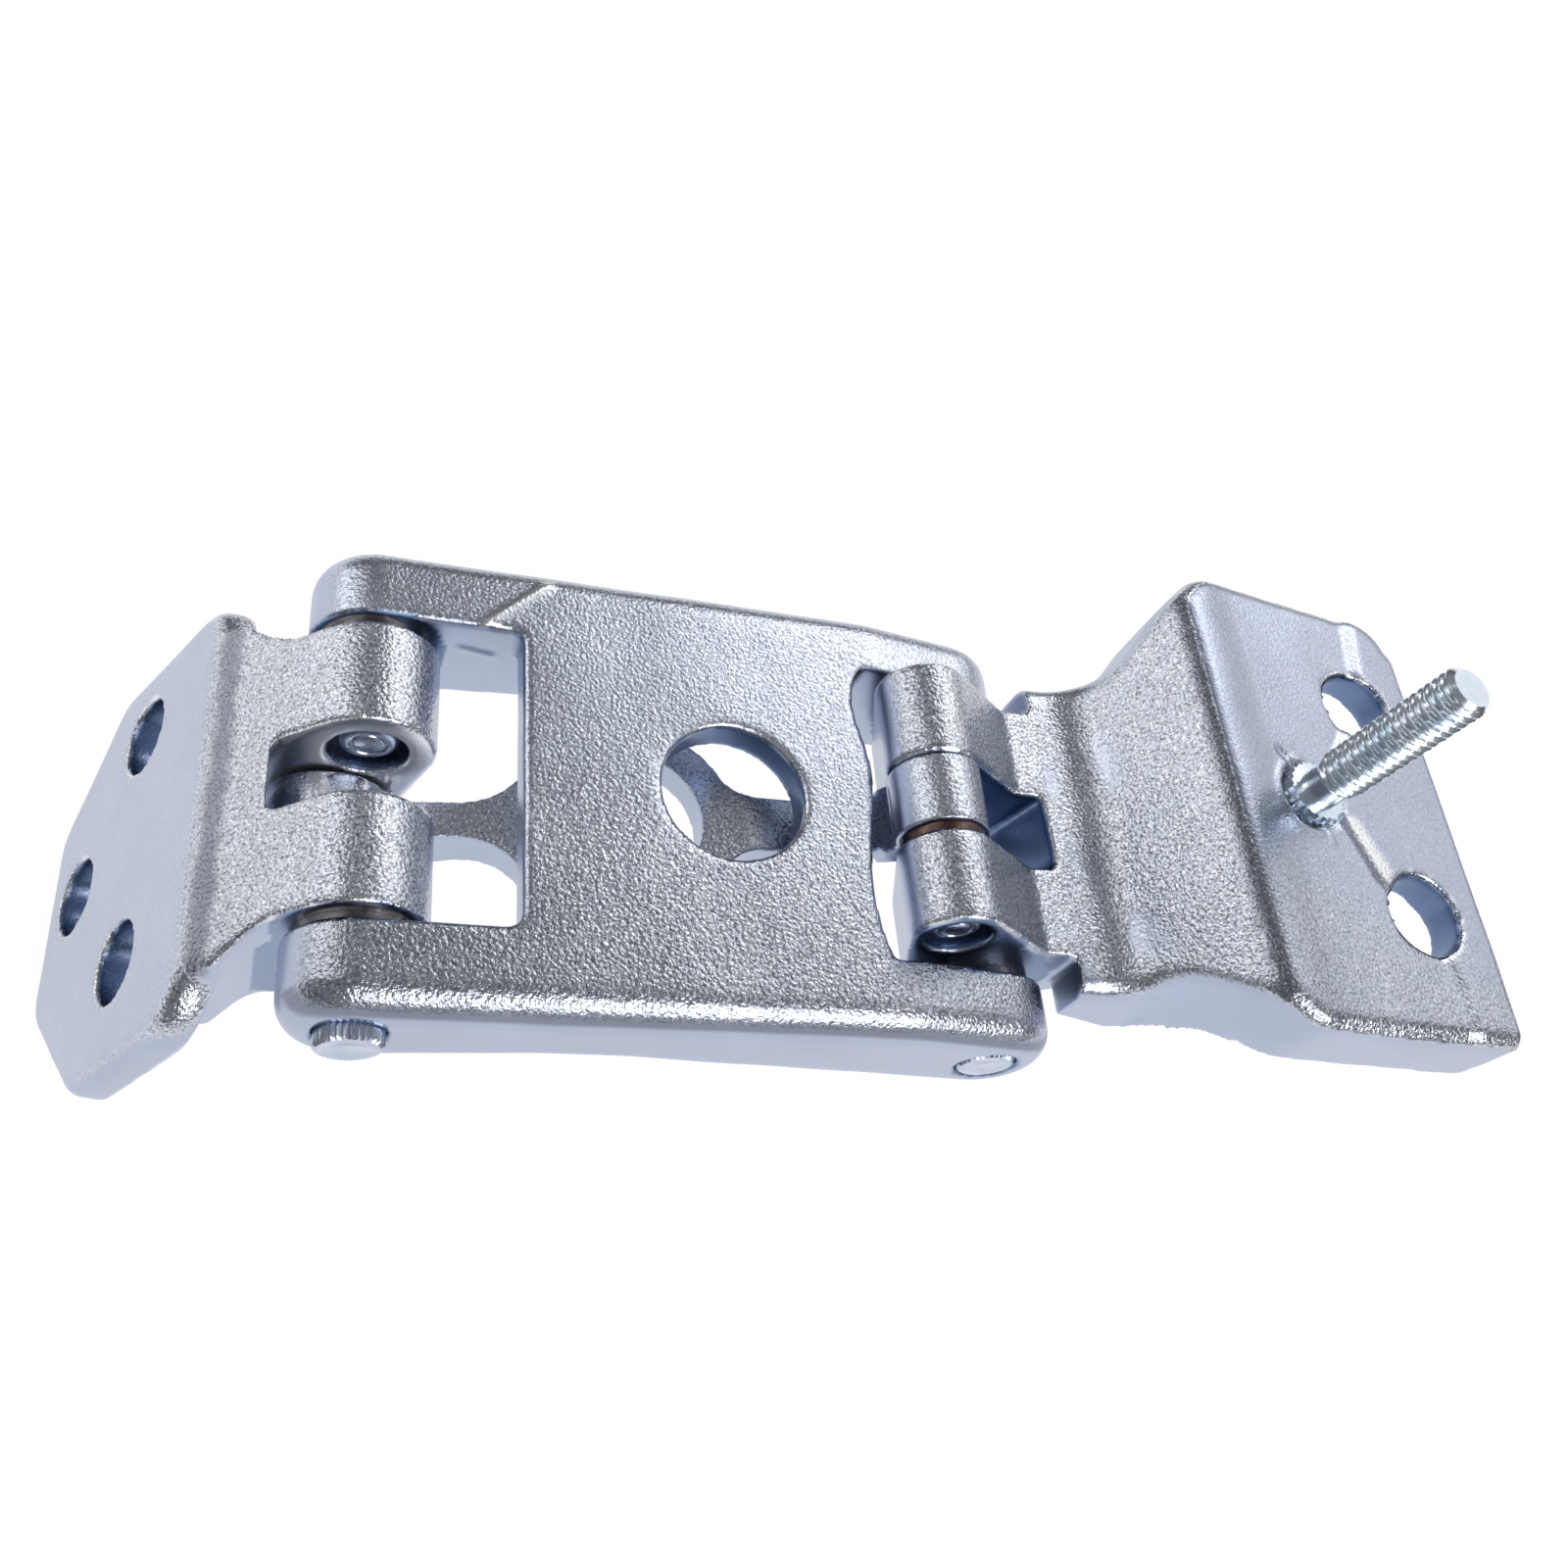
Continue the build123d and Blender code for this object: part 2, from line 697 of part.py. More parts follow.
# Stub pins: knurled head outside, domed end towards the slot
def make_stub(name, axis, side, inner_y, proud):
    head_y = link_half + proud
    with BuildPart() as stub:
        with BuildSketch(pivot_plane(axis, side * inner_y)):
            Circle(stub_r)
        extrude(amount=side * (head_y - inner_y))
        with BuildSketch(pivot_plane(axis, side * (head_y - knurl_length))):
            with BuildLine():
                Polyline(*toothed(stub_r, knurl_proud, knurl_teeth), close=True)
            make_face()
        extrude(amount=side * (knurl_length - knurl_end))
        inner_end = stub.faces().filter_by(Axis.Y).sort_by(Axis.Y)[0 if side > 0 else -1]
        chamfer(inner_end.edges(), length=stub_chamfer)
    stub.part.label = name
    export_step(stub.part, f"parts/{name}.step")


# Bushes: a wrapped tube with a flange at its outer end and a split along its top
def make_bush(name, axis, start, end, inner_r, flange_at, flange_radius, flange_thick):
    with BuildPart() as bush:
        with BuildSketch(pivot_plane(axis, start)):
            Circle(inner_r + bush_wall)
        extrude(amount=end - start)
        if flange_thick > 0:
            way = 1 if flange_at > (start + end) / 2 else -1
            with BuildSketch(pivot_plane(axis, flange_at)):
                Circle(flange_radius)
            extrude(amount=way * flange_thick)
        with BuildSketch(pivot_plane(axis, start - far_out / 2)):
            Circle(inner_r)
        extrude(amount=2 * far_out, mode=Mode.SUBTRACT)
        with BuildSketch(pivot_plane(axis, start - far_out / 2)):
            Rectangle(far_out, bush_split, align=(Align.MAX, Align.CENTER))
        extrude(amount=2 * far_out, mode=Mode.SUBTRACT)
    bush.part.label = name
    export_step(bush.part, f"parts/{name}.step")


# Thrust washers: flat rings between a bush's flange and an arm
def make_washer(name, axis, side, inner_y, outer_y):
    with BuildPart() as washer:
        with BuildSketch(pivot_plane(axis, side * inner_y)):
            Circle(flange_r)
            Circle(stub_r + running_gap, mode=Mode.SUBTRACT)
        extrude(amount=side * (outer_y - inner_y))
    washer.part.label = name
    export_step(washer.part, f"parts/{name}.step")


for place, side in (("near", -1), ("far", 1)):
    barrel_c = far_barrel if side > 0 else -near_barrel
    proud = head_proud if side < 0 else 0.0
    make_stub(f"stub_pin_c_{place}", axis_c, side, slot_half + stub_recess, proud)
    make_stub(f"stub_pin_b_{place}", axis_b, side, barrel_c + stub_recess, 0.0)
    c_inner = side * (slot_half + bush_recess)
    c_outer = side * lobe_half
    make_bush(
        f"bush_c_{place}", axis_c, min(c_inner, c_outer), max(c_inner, c_outer),
        stub_r + running_gap, c_outer, flange_r, flange_c,
    )
    b_inner = side * (barrel_c + bush_recess)
    b_outer = side * right_lobe_half
    make_bush(
        f"bush_b_{place}", axis_b, min(b_inner, b_outer), max(b_inner, b_outer),
        stub_r + running_gap, b_outer, flange_r, flange_b,
    )
    make_washer(
        f"thrust_washer_c_{place}", axis_c, side, lobe_half + flange_c + side_play, arm_inner
    )
    make_washer(
        f"thrust_washer_b_{place}", axis_b, side,
        right_lobe_half + flange_b + side_play, mouth_half,
    )

# Pivot A: a pin pressed into the inner link that turns in two bushes in the barrels
pin_a_half = right_lobe_half - stub_recess
with BuildPart() as pin_a:
    with BuildSketch(pivot_plane(axis_a, -pin_a_half)):
        Circle(pin_a_r)
    extrude(amount=2 * pin_a_half)
    chamfer(pin_a.faces().filter_by(Axis.Y).edges(), length=stub_chamfer)
pin_a.part.label = "pin_a"
export_step(pin_a.part, "parts/pin_a.step")
make_bush(
    "bush_a_near", axis_a, -pin_a_half + stub_recess, near_barrel,
    pin_a_r + running_gap, near_barrel, flange_a_r, flange_a,
)
make_bush(
    "bush_a_far", axis_a, far_barrel, pin_a_half - stub_recess,
    pin_a_r + running_gap, 0.0, 0.0, 0.0,
)

# Pivot D: a pin pressed into both ears and necked down where the inner link rides on it
pin_d_half = lobe_half - pin_d_recess
with BuildPart() as pin_d:
    with BuildSketch(pivot_plane(axis_d, -pin_d_half)):
        Circle(pin_d_r)
    extrude(amount=2 * pin_d_half)
    for side in (-1, 1):
        with BuildSketch(pivot_plane(axis_d, side * pin_d_half)):
            Circle(ear_bore_r)
        extrude(amount=-side * (pin_d_half - slot_half))
    ends = pin_d.faces().filter_by(Axis.Y).sort_by(Axis.Y)
    chamfer(ends[0].edges() + ends[-1].edges(), length=pin_chamfer)
pin_d.part.label = "pin_d"
export_step(pin_d.part, "parts/pin_d.step")
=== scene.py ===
import json
import math

import bpy
import numpy as np
from mathutils import Matrix, Vector, noise


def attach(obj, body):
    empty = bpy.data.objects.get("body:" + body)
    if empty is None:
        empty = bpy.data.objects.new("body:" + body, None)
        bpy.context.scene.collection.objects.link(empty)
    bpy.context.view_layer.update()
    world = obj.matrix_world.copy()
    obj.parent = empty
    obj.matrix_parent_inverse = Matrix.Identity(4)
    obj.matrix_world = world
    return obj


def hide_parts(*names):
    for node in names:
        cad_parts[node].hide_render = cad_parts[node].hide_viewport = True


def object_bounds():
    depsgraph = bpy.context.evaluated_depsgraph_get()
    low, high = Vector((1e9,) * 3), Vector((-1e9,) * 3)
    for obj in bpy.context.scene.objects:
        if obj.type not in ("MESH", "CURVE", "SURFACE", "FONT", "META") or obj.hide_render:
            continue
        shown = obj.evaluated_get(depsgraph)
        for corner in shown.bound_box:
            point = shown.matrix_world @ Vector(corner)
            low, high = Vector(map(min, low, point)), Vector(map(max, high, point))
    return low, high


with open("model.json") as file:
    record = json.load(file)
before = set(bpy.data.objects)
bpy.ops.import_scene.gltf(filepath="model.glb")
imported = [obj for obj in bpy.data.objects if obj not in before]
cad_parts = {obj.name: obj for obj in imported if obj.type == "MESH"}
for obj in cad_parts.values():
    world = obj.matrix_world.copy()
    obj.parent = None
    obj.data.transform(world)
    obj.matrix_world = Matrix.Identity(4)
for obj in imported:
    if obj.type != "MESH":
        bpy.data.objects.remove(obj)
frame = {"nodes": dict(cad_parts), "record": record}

cadLow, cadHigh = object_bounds()
mm = 0.001
print("frame loaded:", len(frame["nodes"]), "nodes")

# Where the hinge's own features lie, in millimetres in the row's frame
place = {
    "holeX": -79.2,             # round hole of the main link
    "linkTop": -11.5,           # top face of the main link
    "holeRadius": 8.1,
    "axisC": (-117.0, -18.2),   # pivots, by x and z
    "axisD": (-120.2, -28.1),
    "axisA": (-55.4, -10.6),
    "axisB": (-48.7, -20.9),
    "plateTilt": 4.5,           # the fixing plate leans this far down to the right
    "studBack": 12.4,
    "boltSpan": 28.0,
}
tilt = math.radians(place["plateTilt"])
faceOut = Vector((math.sin(tilt), 0.0, math.cos(tilt)))
faceAlong = Vector((math.cos(tilt), 0.0, -math.sin(tilt)))
studFoot = faceAlong * -place["studBack"]


# A socket that takes part in sums: each operator adds its Math node
class Wire:
    def __init__(self, bench, socket):
        self.bench = bench
        self.socket = socket

    def maths(self, operation, first, second, clamp=False):
        settings = {"operation": operation, "use_clamp": clamp}
        return self.bench.add("ShaderNodeMath", settings, {0: first, 1: second})

    def __add__(self, other):
        return self.maths("ADD", self, other)

    def __radd__(self, other):
        return self.maths("ADD", other, self)

    def __sub__(self, other):
        return self.maths("SUBTRACT", self, other)

    def __rsub__(self, other):
        return self.maths("SUBTRACT", other, self)

    def __mul__(self, other):
        return self.maths("MULTIPLY", self, other)

    def __rmul__(self, other):
        return self.maths("MULTIPLY", other, self)

    def clamped(self):
        return self.maths("ADD", self, 0.0, clamp=True)


# A material's node bench: one method adds any node
class Bench:
    def __init__(self, name, tree=None):
        if tree is None:
            self.material = bpy.data.materials.new(name)
            self.material.use_nodes = True
            tree = self.material.node_tree
        self.tree = tree
        self.tree.nodes.clear()

    def add(self, kind, settings=None, inputs=None, output=0):
        made = self.tree.nodes.new(kind)
        for key, value in (settings or {}).items():
            setattr(made, key, value)
        for key, value in (inputs or {}).items():
            if isinstance(value, Wire):
                self.tree.links.new(value.socket, made.inputs[key])
            else:
                made.inputs[key].default_value = value
        return Wire(self, made.outputs[output])

    def mixColours(self, factor, first, second):
        return self.add("ShaderNodeMix", {"data_type": "RGBA"}, {0: factor, 6: first, 7: second}, 2)

    def ramp(self, value, low, high):
        spread = {0: value, 1: low, 2: high, 3: 0.0, 4: 1.0}
        return self.add("ShaderNodeMapRange", {"interpolation_type": "SMOOTHSTEP"}, spread)

    def noise(self, where, scale, detail, rough=0.5):
        values = {"Vector": where, "Scale": scale, "Detail": detail, "Roughness": rough}
        return self.add("ShaderNodeTexNoise", {}, values)

    def attribute(self, name):
        return self.add("ShaderNodeAttribute", {"attribute_name": name}, output=2)

    def bump(self, strength, distance, height):
        values = {"Strength": strength, "Distance": distance, "Height": height}
        return self.add("ShaderNodeBump", {}, values)

    def metal(self, base, rough, bump):
        values = {"Base Color": base, "Metallic": 1.0, "Roughness": rough.clamped(), "Normal": bump}
        return self.finish(self.add("ShaderNodeBsdfPrincipled", {}, values))

    def finish(self, shader):
        out = self.tree.nodes.new("ShaderNodeOutputMaterial")
        self.tree.links.new(shader.socket, out.inputs["Surface"])
        return self.material


# Scales of the noises are per metre, heights are in metres
castingFinish = {
    "satinAndReflection": (0.46, 0.51, 0.65, 1.0),       # smooth faces, lilac blue: partly the plating's tint, partly a painted reflection
    "pebbled": (0.60, 0.63, 0.69, 1.0),     # as-cast top faces, silver
    "milled": (0.12, 0.19, 0.34, 1.0),      # slots and bores, deep blue
    "stainAndShade": (0.15, 0.165, 0.21, 1.0),       # dark grey blue: stains, and painted shade in the grain's hollows and along edges
    "paintedHighlight": (0.97, 0.97, 0.98, 1.0),   # near white: painted highlights on steps, rims, edges and glints
    "milledShare": 0.92,
    "stainScale": 90.0,
    "stainEdge": (0.3, 0.75),
    "stainShare": 0.14,
    "grainScale": 2900.0,
    "hollowEdge": (0.36, 0.47),             # grain below this gets painted shade, as in hollows
    "hollowShare": 0.68,
    "glintEdge": (0.55, 0.66),              # grain above this gets a painted glint
    "glintShare": 0.6,
    "pebbleScale": 2200.0,
    "fineScale": 7000.0,
    "toolLineScale": 3200.0,
    "toolLineStretch": (0.25, 1.0, 1.0),
    "rough": 0.33,
    "grainHeight": 0.00010,
}


# Bright zinc plate over a rough casting. Attributes say where it is pebbled or milled, and where a
# highlight or a shade is painted into its colour.
def makeCastingFinish(name, look):
    bench = Bench(name)
    where = bench.add("ShaderNodeTexCoord", output=3)
    pebbled = bench.attribute("pebbled")
    milled = bench.attribute("milled")
    paintedHighlight = bench.attribute("paintedHighlight")
    paintedShade = bench.attribute("paintedShade")
    stain = bench.noise(where, look["stainScale"], 3.0, 0.6)
    grain = bench.noise(where, look["grainScale"], 2.0, 0.6)
    fine = bench.noise(where, look["fineScale"], 1.0)
    pebbles = bench.add(
        "ShaderNodeTexVoronoi", {"feature": "SMOOTH_F1"},
        {"Vector": where, "Scale": look["pebbleScale"], "Smoothness": 0.3},
    )
    drawn = bench.add("ShaderNodeMapping", {}, {"Vector": where, "Scale": look["toolLineStretch"]})
    toolLines = bench.noise(drawn, look["toolLineScale"], 1.0)
    # faces that turn sideways take the lilac blue, partly as a painted reflection
    base = bench.mixColours(pebbled, look["satinAndReflection"], look["pebbled"])
    base = bench.mixColours(milled * look["milledShare"], base, look["milled"])
    clean = bench.ramp(stain, *look["stainEdge"])
    base = bench.mixColours((1.0 - clean) * look["stainShare"], base, look["stainAndShade"])
    # the grain's hollows get painted shade and its high points painted glints, kept in the colour
    hollow = (1.0 - bench.ramp(grain, *look["hollowEdge"])) * pebbled
    base = bench.mixColours(hollow * look["hollowShare"], base, look["stainAndShade"])
    glint = bench.ramp(grain, *look["glintEdge"]) * pebbled
    base = bench.mixColours(glint * look["glintShare"], base, look["paintedHighlight"])
    # painted shade: dark lines in place of dark reflections, and some darkening
    base = bench.mixColours(paintedShade, base, look["stainAndShade"])
    # painted highlights are mixed in last
    base = bench.mixColours(paintedHighlight, base, look["paintedHighlight"])
    rough = look["rough"] - pebbled * 0.13 + (fine - 0.5) * 0.14 + (stain - 0.5) * 0.12 - milled * 0.02
    height = pebbled * (grain + (1.0 - pebbles) * 0.55) + (1.0 - milled) * (fine * 0.05)
    height = height + milled * toolLines * 0.06 + (1.0 - pebbled) * grain * 0.05
    return bench.metal(base, rough, bench.bump(1.0, look["grainHeight"], height))


turnedFinish = {
    "colour": (0.78, 0.83, 0.90, 1.0),
    "tint": (0.64, 0.74, 0.83, 1.0),
    "rough": 0.22,
    "stainScale": 320.0,
    "fineScale": 2600.0,
    "height": 0.00004,
}
headFinish = {
    **turnedFinish,
    "colour": (0.56, 0.61, 0.73, 1.0),
    "tint": (0.46, 0.53, 0.66, 1.0),
    "rough": 0.28,
}


# Bright zinc plate over turned steel: clear on the stud, greyer on the pins
def makeTurnedFinish(name, look):
    bench = Bench(name)
    where = bench.add("ShaderNodeTexCoord", output=3)
    stain = bench.noise(where, look["stainScale"], 3.0, 0.6)
    fine = bench.noise(where, look["fineScale"], 2.0, 0.6)
    base = bench.mixColours(bench.ramp(stain, 0.35, 0.65), look["colour"], look["tint"])
    rough = look["rough"] + (stain - 0.5) * 0.16 + (fine - 0.5) * 0.10
    return bench.metal(base, rough, bench.bump(0.7, look["height"], fine * 0.6 + stain * 0.8))


bearingFinish = {"wornScale": 500.0, "scratchScale": 4200.0, "height": 0.00003}
washerFinish = {
    **bearingFinish,
    "colour": (0.10, 0.095, 0.10, 1.0),
    "worn": (0.30, 0.28, 0.27, 1.0),
    "rough": 0.34,
}
bronzeFinish = {
    **bearingFinish,
    "colour": (0.09, 0.06, 0.055, 1.0),
    "worn": (0.26, 0.17, 0.13, 1.0),
    "rough": 0.36,
}


# Bearing metal: dark oiled steel or dull bronze, a little worn
def makeBearingFinish(name, look):
    bench = Bench(name)
    where = bench.add("ShaderNodeTexCoord", output=3)
    wear = bench.noise(where, look["wornScale"], 3.0, 0.6)
    scratch = bench.noise(where, look["scratchScale"], 1.0)
    base = bench.mixColours(bench.ramp(wear, 0.45, 0.75), look["colour"], look["worn"])
    rough = look["rough"] + (scratch - 0.5) * 0.22
    return bench.metal(base, rough, bench.bump(0.5, look["height"], scratch))


castingMaterial = makeCastingFinish("castZinc", castingFinish)
turnedMaterial = makeTurnedFinish("turnedZinc", turnedFinish)
headMaterial = makeTurnedFinish("headZinc", headFinish)
slotMaterials = {
    "zinc_casting": castingMaterial,
    "zinc_fastener": turnedMaterial,
    "dark_steel": makeBearingFinish("darkSteel", washerFinish),
    "bronze": makeBearingFinish("dullBronze", bronzeFinish),
}
for row in frame["record"]["subparts"]:
    node = frame["nodes"][row["node"]]
    node.data.materials.clear()
    node.data.materials.append(slotMaterials[row["material_slot"]])
print("finishes made")


# Leaves nothing selected, in object mode
def clearSelection():
    if bpy.context.object and bpy.context.object.mode != "OBJECT":
        bpy.ops.object.mode_set(mode="OBJECT")
    bpy.ops.object.select_all(action="DESELECT")


# Makes one object the only selected and active one
def choose(piece):
    clearSelection()
    piece.select_set(True)
    bpy.context.view_layer.objects.active = piece


# Adds a modifier with its settings and applies it
def applyModifier(piece, kind, settings):
    choose(piece)
    modifier = piece.modifiers.new(kind.lower(), kind)
    for key, value in settings.items():
        setattr(modifier, key, value)
    bpy.ops.object.modifier_apply(modifier=modifier.name)


# Gives a new piece its metal, hides the node it replaces, and hangs it on the body it rides on
def seatPiece(piece, material, nodeName, body):
    piece.data.materials.clear()
    piece.data.materials.append(material)
    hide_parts(nodeName)
    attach(piece, body)


# Smooth step from 0 at low to 1 at high, for arrays
def easeBetween(values, low, high):
    share = np.clip((values - low) / (high - low), 0.0, 1.0)
    return share * share * (3.0 - 2.0 * share)


# 1 at no distance, fading out over about the width; a higher power has a flatter top
def fadeFrom(distance, width, power=2):
    return np.exp(-((distance / width) ** power))


# Distance of each point from a line's stretch between two points, in millimetres
def fromStretch(points, start, end):
    start = np.array(start)
    along = np.array(end) - start
    share = np.clip((points - start) @ along / (along @ along), 0.0, 1.0)
    return np.linalg.norm(points - start - share[:, None] * along, axis=1)


# Distance of each point from a pivot line that runs along Y
def fromPivot(points, axis):
    return np.hypot(points[:, 0] - axis[0], points[:, 2] - axis[1])


# Noise at many points; size is the length of one swell in millimetres
def swell(points, size, seed):
    shift = Vector((seed * 17.3, seed * 5.1, seed * 9.7))
    return np.array([noise.noise(Vector(point) / size + shift) for point in points])


# Rounded lumps, as cast skin has them
def lumps(points, size, seed):
    shift = Vector((seed * 3.7, seed * 11.9, seed * 2.3))
    return np.array([noise.voronoi(Vector(point) / size + shift)[0][0] for point in points])


# A mesh's points in millimetres
def meshPoints(mesh):
    points = np.empty(len(mesh.vertices) * 3)
    mesh.vertices.foreach_get("co", points)
    return points.reshape(-1, 3) / mm


# What all castings share; lengths are in millimetres unless a note says otherwise
skinLook = {
    "weld": 0.001,
    "blendFactor": 0.7,
    "softenFactor": 0.5,
    "highlitEdge": (0.10, 0.28),     # how much softening takes off an edge, in voxels
    "edgeHighlightPatch": 3.1,
    "edgeHighlightShare": 0.75,
    "swellShare": 0.6,
    "lumpSize": 1.3,                # beside the size of the grain
}
# Each noise on the castings has its own seed
seeds = {
    "edgeHighlight": 11, "grain": 3, "lumps": 5, "wave": 8, "holeRim": 4, "bend": 15, "smear": 21,
    "boltRims": 6, "crest": 16,
}


# Blends a corner or an edge into its surroundings by smoothing the mesh near a line
def blendNear(piece, start, end, reach, turns):
    group = piece.vertex_groups.new(name="blend")
    weights = 1.0 - fromStretch(meshPoints(piece.data), start, end) / reach
    for index in np.flatnonzero(weights > 0):
        group.add([int(index)], float(weights[index]), "REPLACE")
    settings = {"factor": skinLook["blendFactor"], "iterations": turns, "vertex_group": "blend"}
    applyModifier(piece, "SMOOTH", settings)
    piece.vertex_groups.clear()


# A casting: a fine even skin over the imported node's own form, roughened where it was cast
def makeCasting(nodeName, body, look, skin):
    source = frame["nodes"][nodeName]
    piece = source.copy()
    piece.data = source.data.copy()
    piece.parent = None
    piece.matrix_world = Matrix.Identity(4)
    bpy.context.scene.collection.objects.link(piece)
    piece.name = look["name"]
    choose(piece)
    bpy.ops.object.mode_set(mode="EDIT")
    bpy.ops.mesh.select_all(action="SELECT")
    bpy.ops.mesh.remove_doubles(threshold=skinLook["weld"] * mm)
    bpy.ops.object.mode_set(mode="OBJECT")
    applyModifier(piece, "REMESH", {"mode": "VOXEL", "voxel_size": look["voxel"] * mm})
    for start, end, reach in look["blends"]:
        blendNear(piece, start, end, reach, look["blendTurns"])
    sharp = meshPoints(piece.data)
    applyModifier(piece, "SMOOTH", {"factor": skinLook["softenFactor"], "iterations": look["soften"]})
    mesh = piece.data
    count = len(mesh.vertices)
    points = meshPoints(mesh)
    normals = np.empty(count * 3)
    mesh.vertex_normals.foreach_get("vector", normals)
    normals = normals.reshape(-1, 3)
    pebbled, milled, paintedHighlight, paintedShade, lift = skin(points, normals)
    # edges that stand out get painted highlights in patches
    edge = np.einsum("ij,ij->i", sharp - points, normals) / look["voxel"]
    patches = easeBetween(swell(points, skinLook["edgeHighlightPatch"], seeds["edgeHighlight"]), -0.25, 0.25)
    edgeHighlight = easeBetween(edge, *skinLook["highlitEdge"]) * patches
    paintedHighlight = np.maximum(paintedHighlight, skinLook["edgeHighlightShare"] * edgeHighlight * (normals[:, 2] > -0.3))
    grain = swell(points, look["grain"], seeds["grain"]) * skinLook["swellShare"]
    grain = grain - lumps(points, look["grain"] * skinLook["lumpSize"], seeds["lumps"])
    wave = swell(points, look["wave"], seeds["wave"]) * (1 - milled)
    rise = pebbled * grain * look["grainLift"] + wave * look["waveLift"]
    points = points + normals * (rise + lift)[:, None]
    mesh.vertices.foreach_set("co", (points * mm).ravel())
    # the finish's attributes: pebbled and milled texture, painted highlight and painted shade
    worn = {"pebbled": pebbled, "milled": milled, "paintedHighlight": paintedHighlight, "paintedShade": paintedShade}
    for name, values in worn.items():
        layer = mesh.attributes.new(name, "FLOAT", "POINT")
        layer.data.foreach_set("value", values)
    mesh.update()
    choose(piece)
    bpy.ops.object.shade_smooth()
    seatPiece(piece, castingMaterial, nodeName, body)
    print(nodeName, "cast skin:", count, "vertices")


mainLinkLook = {
    "name": "main_link_casting", "voxel": 0.42, "soften": 3, "grain": 1.5, "grainLift": 0.014,
    "wave": 9.0, "waveLift": 0.10, "blends": [], "blendTurns": 0,
}
linkMarks = {
    "farGrain": 0.62,                   # grain on the far side, beside 1 on the near side
    "holeWall": 0.5,
    "pinFace": 7.5,                     # milled rings on the arms' inner faces
    "pinBore": 3.7,
    "flowLine": ((-27.0, 17.5, 0.0), (-20.0, 24.0, 0.0)),     # from the hole, on the top face
    "flowHigh": 0.34,
    "flowWide": 0.42,
    "lump": ((-28.8, 17.2, -4.6), (-25.5, 17.2, -5.4)),       # on the far arm's inner face
    "lumpHigh": 0.26,
    "lumpWide": 0.45,
    "rimWide": 0.4,
    "rimPatch": 2.6,
    "nearDarkening": 0.2,
    "nearEdge": -21.0,
    "lowLine": (0.30, 0.42, 0.55, 0.68),     # where the near edge's two painted dark lines start and end, by how far the face looks up
    "highLine": (0.88, 0.93, 0.97, 0.995),   # by how far the face looks up
}


# The link is pebbled on top and over its rounded edges, and satin on its sides
def linkSkin(points, normals):
    marks = linkMarks
    up = normals[:, 2]
    pebbled = easeBetween(up, 0.45, 0.92)
    toNear = easeBetween(-points[:, 1], -8.0, 18.0)
    pebbled = pebbled * (marks["farGrain"] + (1 - marks["farGrain"]) * toNear)
    bore = np.hypot(points[:, 0] - place["holeX"], points[:, 1])
    inHole = (bore < place["holeRadius"] + marks["holeWall"]) & (up < 0.6)
    nearPins = np.minimum(fromPivot(points, place["axisC"]), fromPivot(points, place["axisB"]))
    atPins = (nearPins < marks["pinFace"]) & (np.abs(normals[:, 1]) > 0.6) & (np.abs(points[:, 1]) < 20)
    milled = np.where(inHole | atPins | (nearPins < marks["pinBore"]), 1.0, 0.0)
    pebbled = pebbled * (1 - milled)
    # the raised flow line across the far arm, and the small lump on its inner face
    holeTop = np.array((place["holeX"], 0.0, place["linkTop"]))
    flowLine = fromStretch(points, *(holeTop + np.array(marks["flowLine"])))
    lump = fromStretch(points, *(holeTop + np.array(marks["lump"])))
    lift = marks["flowHigh"] * fadeFrom(flowLine, marks["flowWide"]) * (up > 0.3)
    lift = lift + marks["lumpHigh"] * fadeFrom(lump, marks["lumpWide"])
    # painted highlights along the flow line, and in patches on the hole's rim
    paintedHighlight = 0.9 * fadeFrom(flowLine, 0.4) * (up > 0.3)
    rim = np.abs(bore - place["holeRadius"] - 0.1) + np.abs(points[:, 2] - place["linkTop"]) * 0.7
    patches = easeBetween(swell(points, marks["rimPatch"], seeds["holeRim"]), -0.1, 0.3)
    paintedHighlight = paintedHighlight + 0.7 * fadeFrom(rim, marks["rimWide"]) * patches
    # darker towards the near side, and two painted dark lines along the near edge, in place of dark
    # reflections
    paintedShade = marks["nearDarkening"] * easeBetween(-points[:, 1], -2.0, 21.0) * pebbled
    nearEdge = (points[:, 1] < marks["nearEdge"]) & (normals[:, 1] < -0.1)
    for (start, full, fading, end), shade in ((marks["lowLine"], 0.65), (marks["highLine"], 0.4)):
        line = easeBetween(up, start, full) * (1 - easeBetween(up, fading, end))
        paintedShade = np.maximum(paintedShade, nearEdge * shade * line)
    return pebbled, milled, np.clip(paintedHighlight, 0.0, 1.0), paintedShade, lift


makeCasting("main_link", "main_link", mainLinkLook, linkSkin)

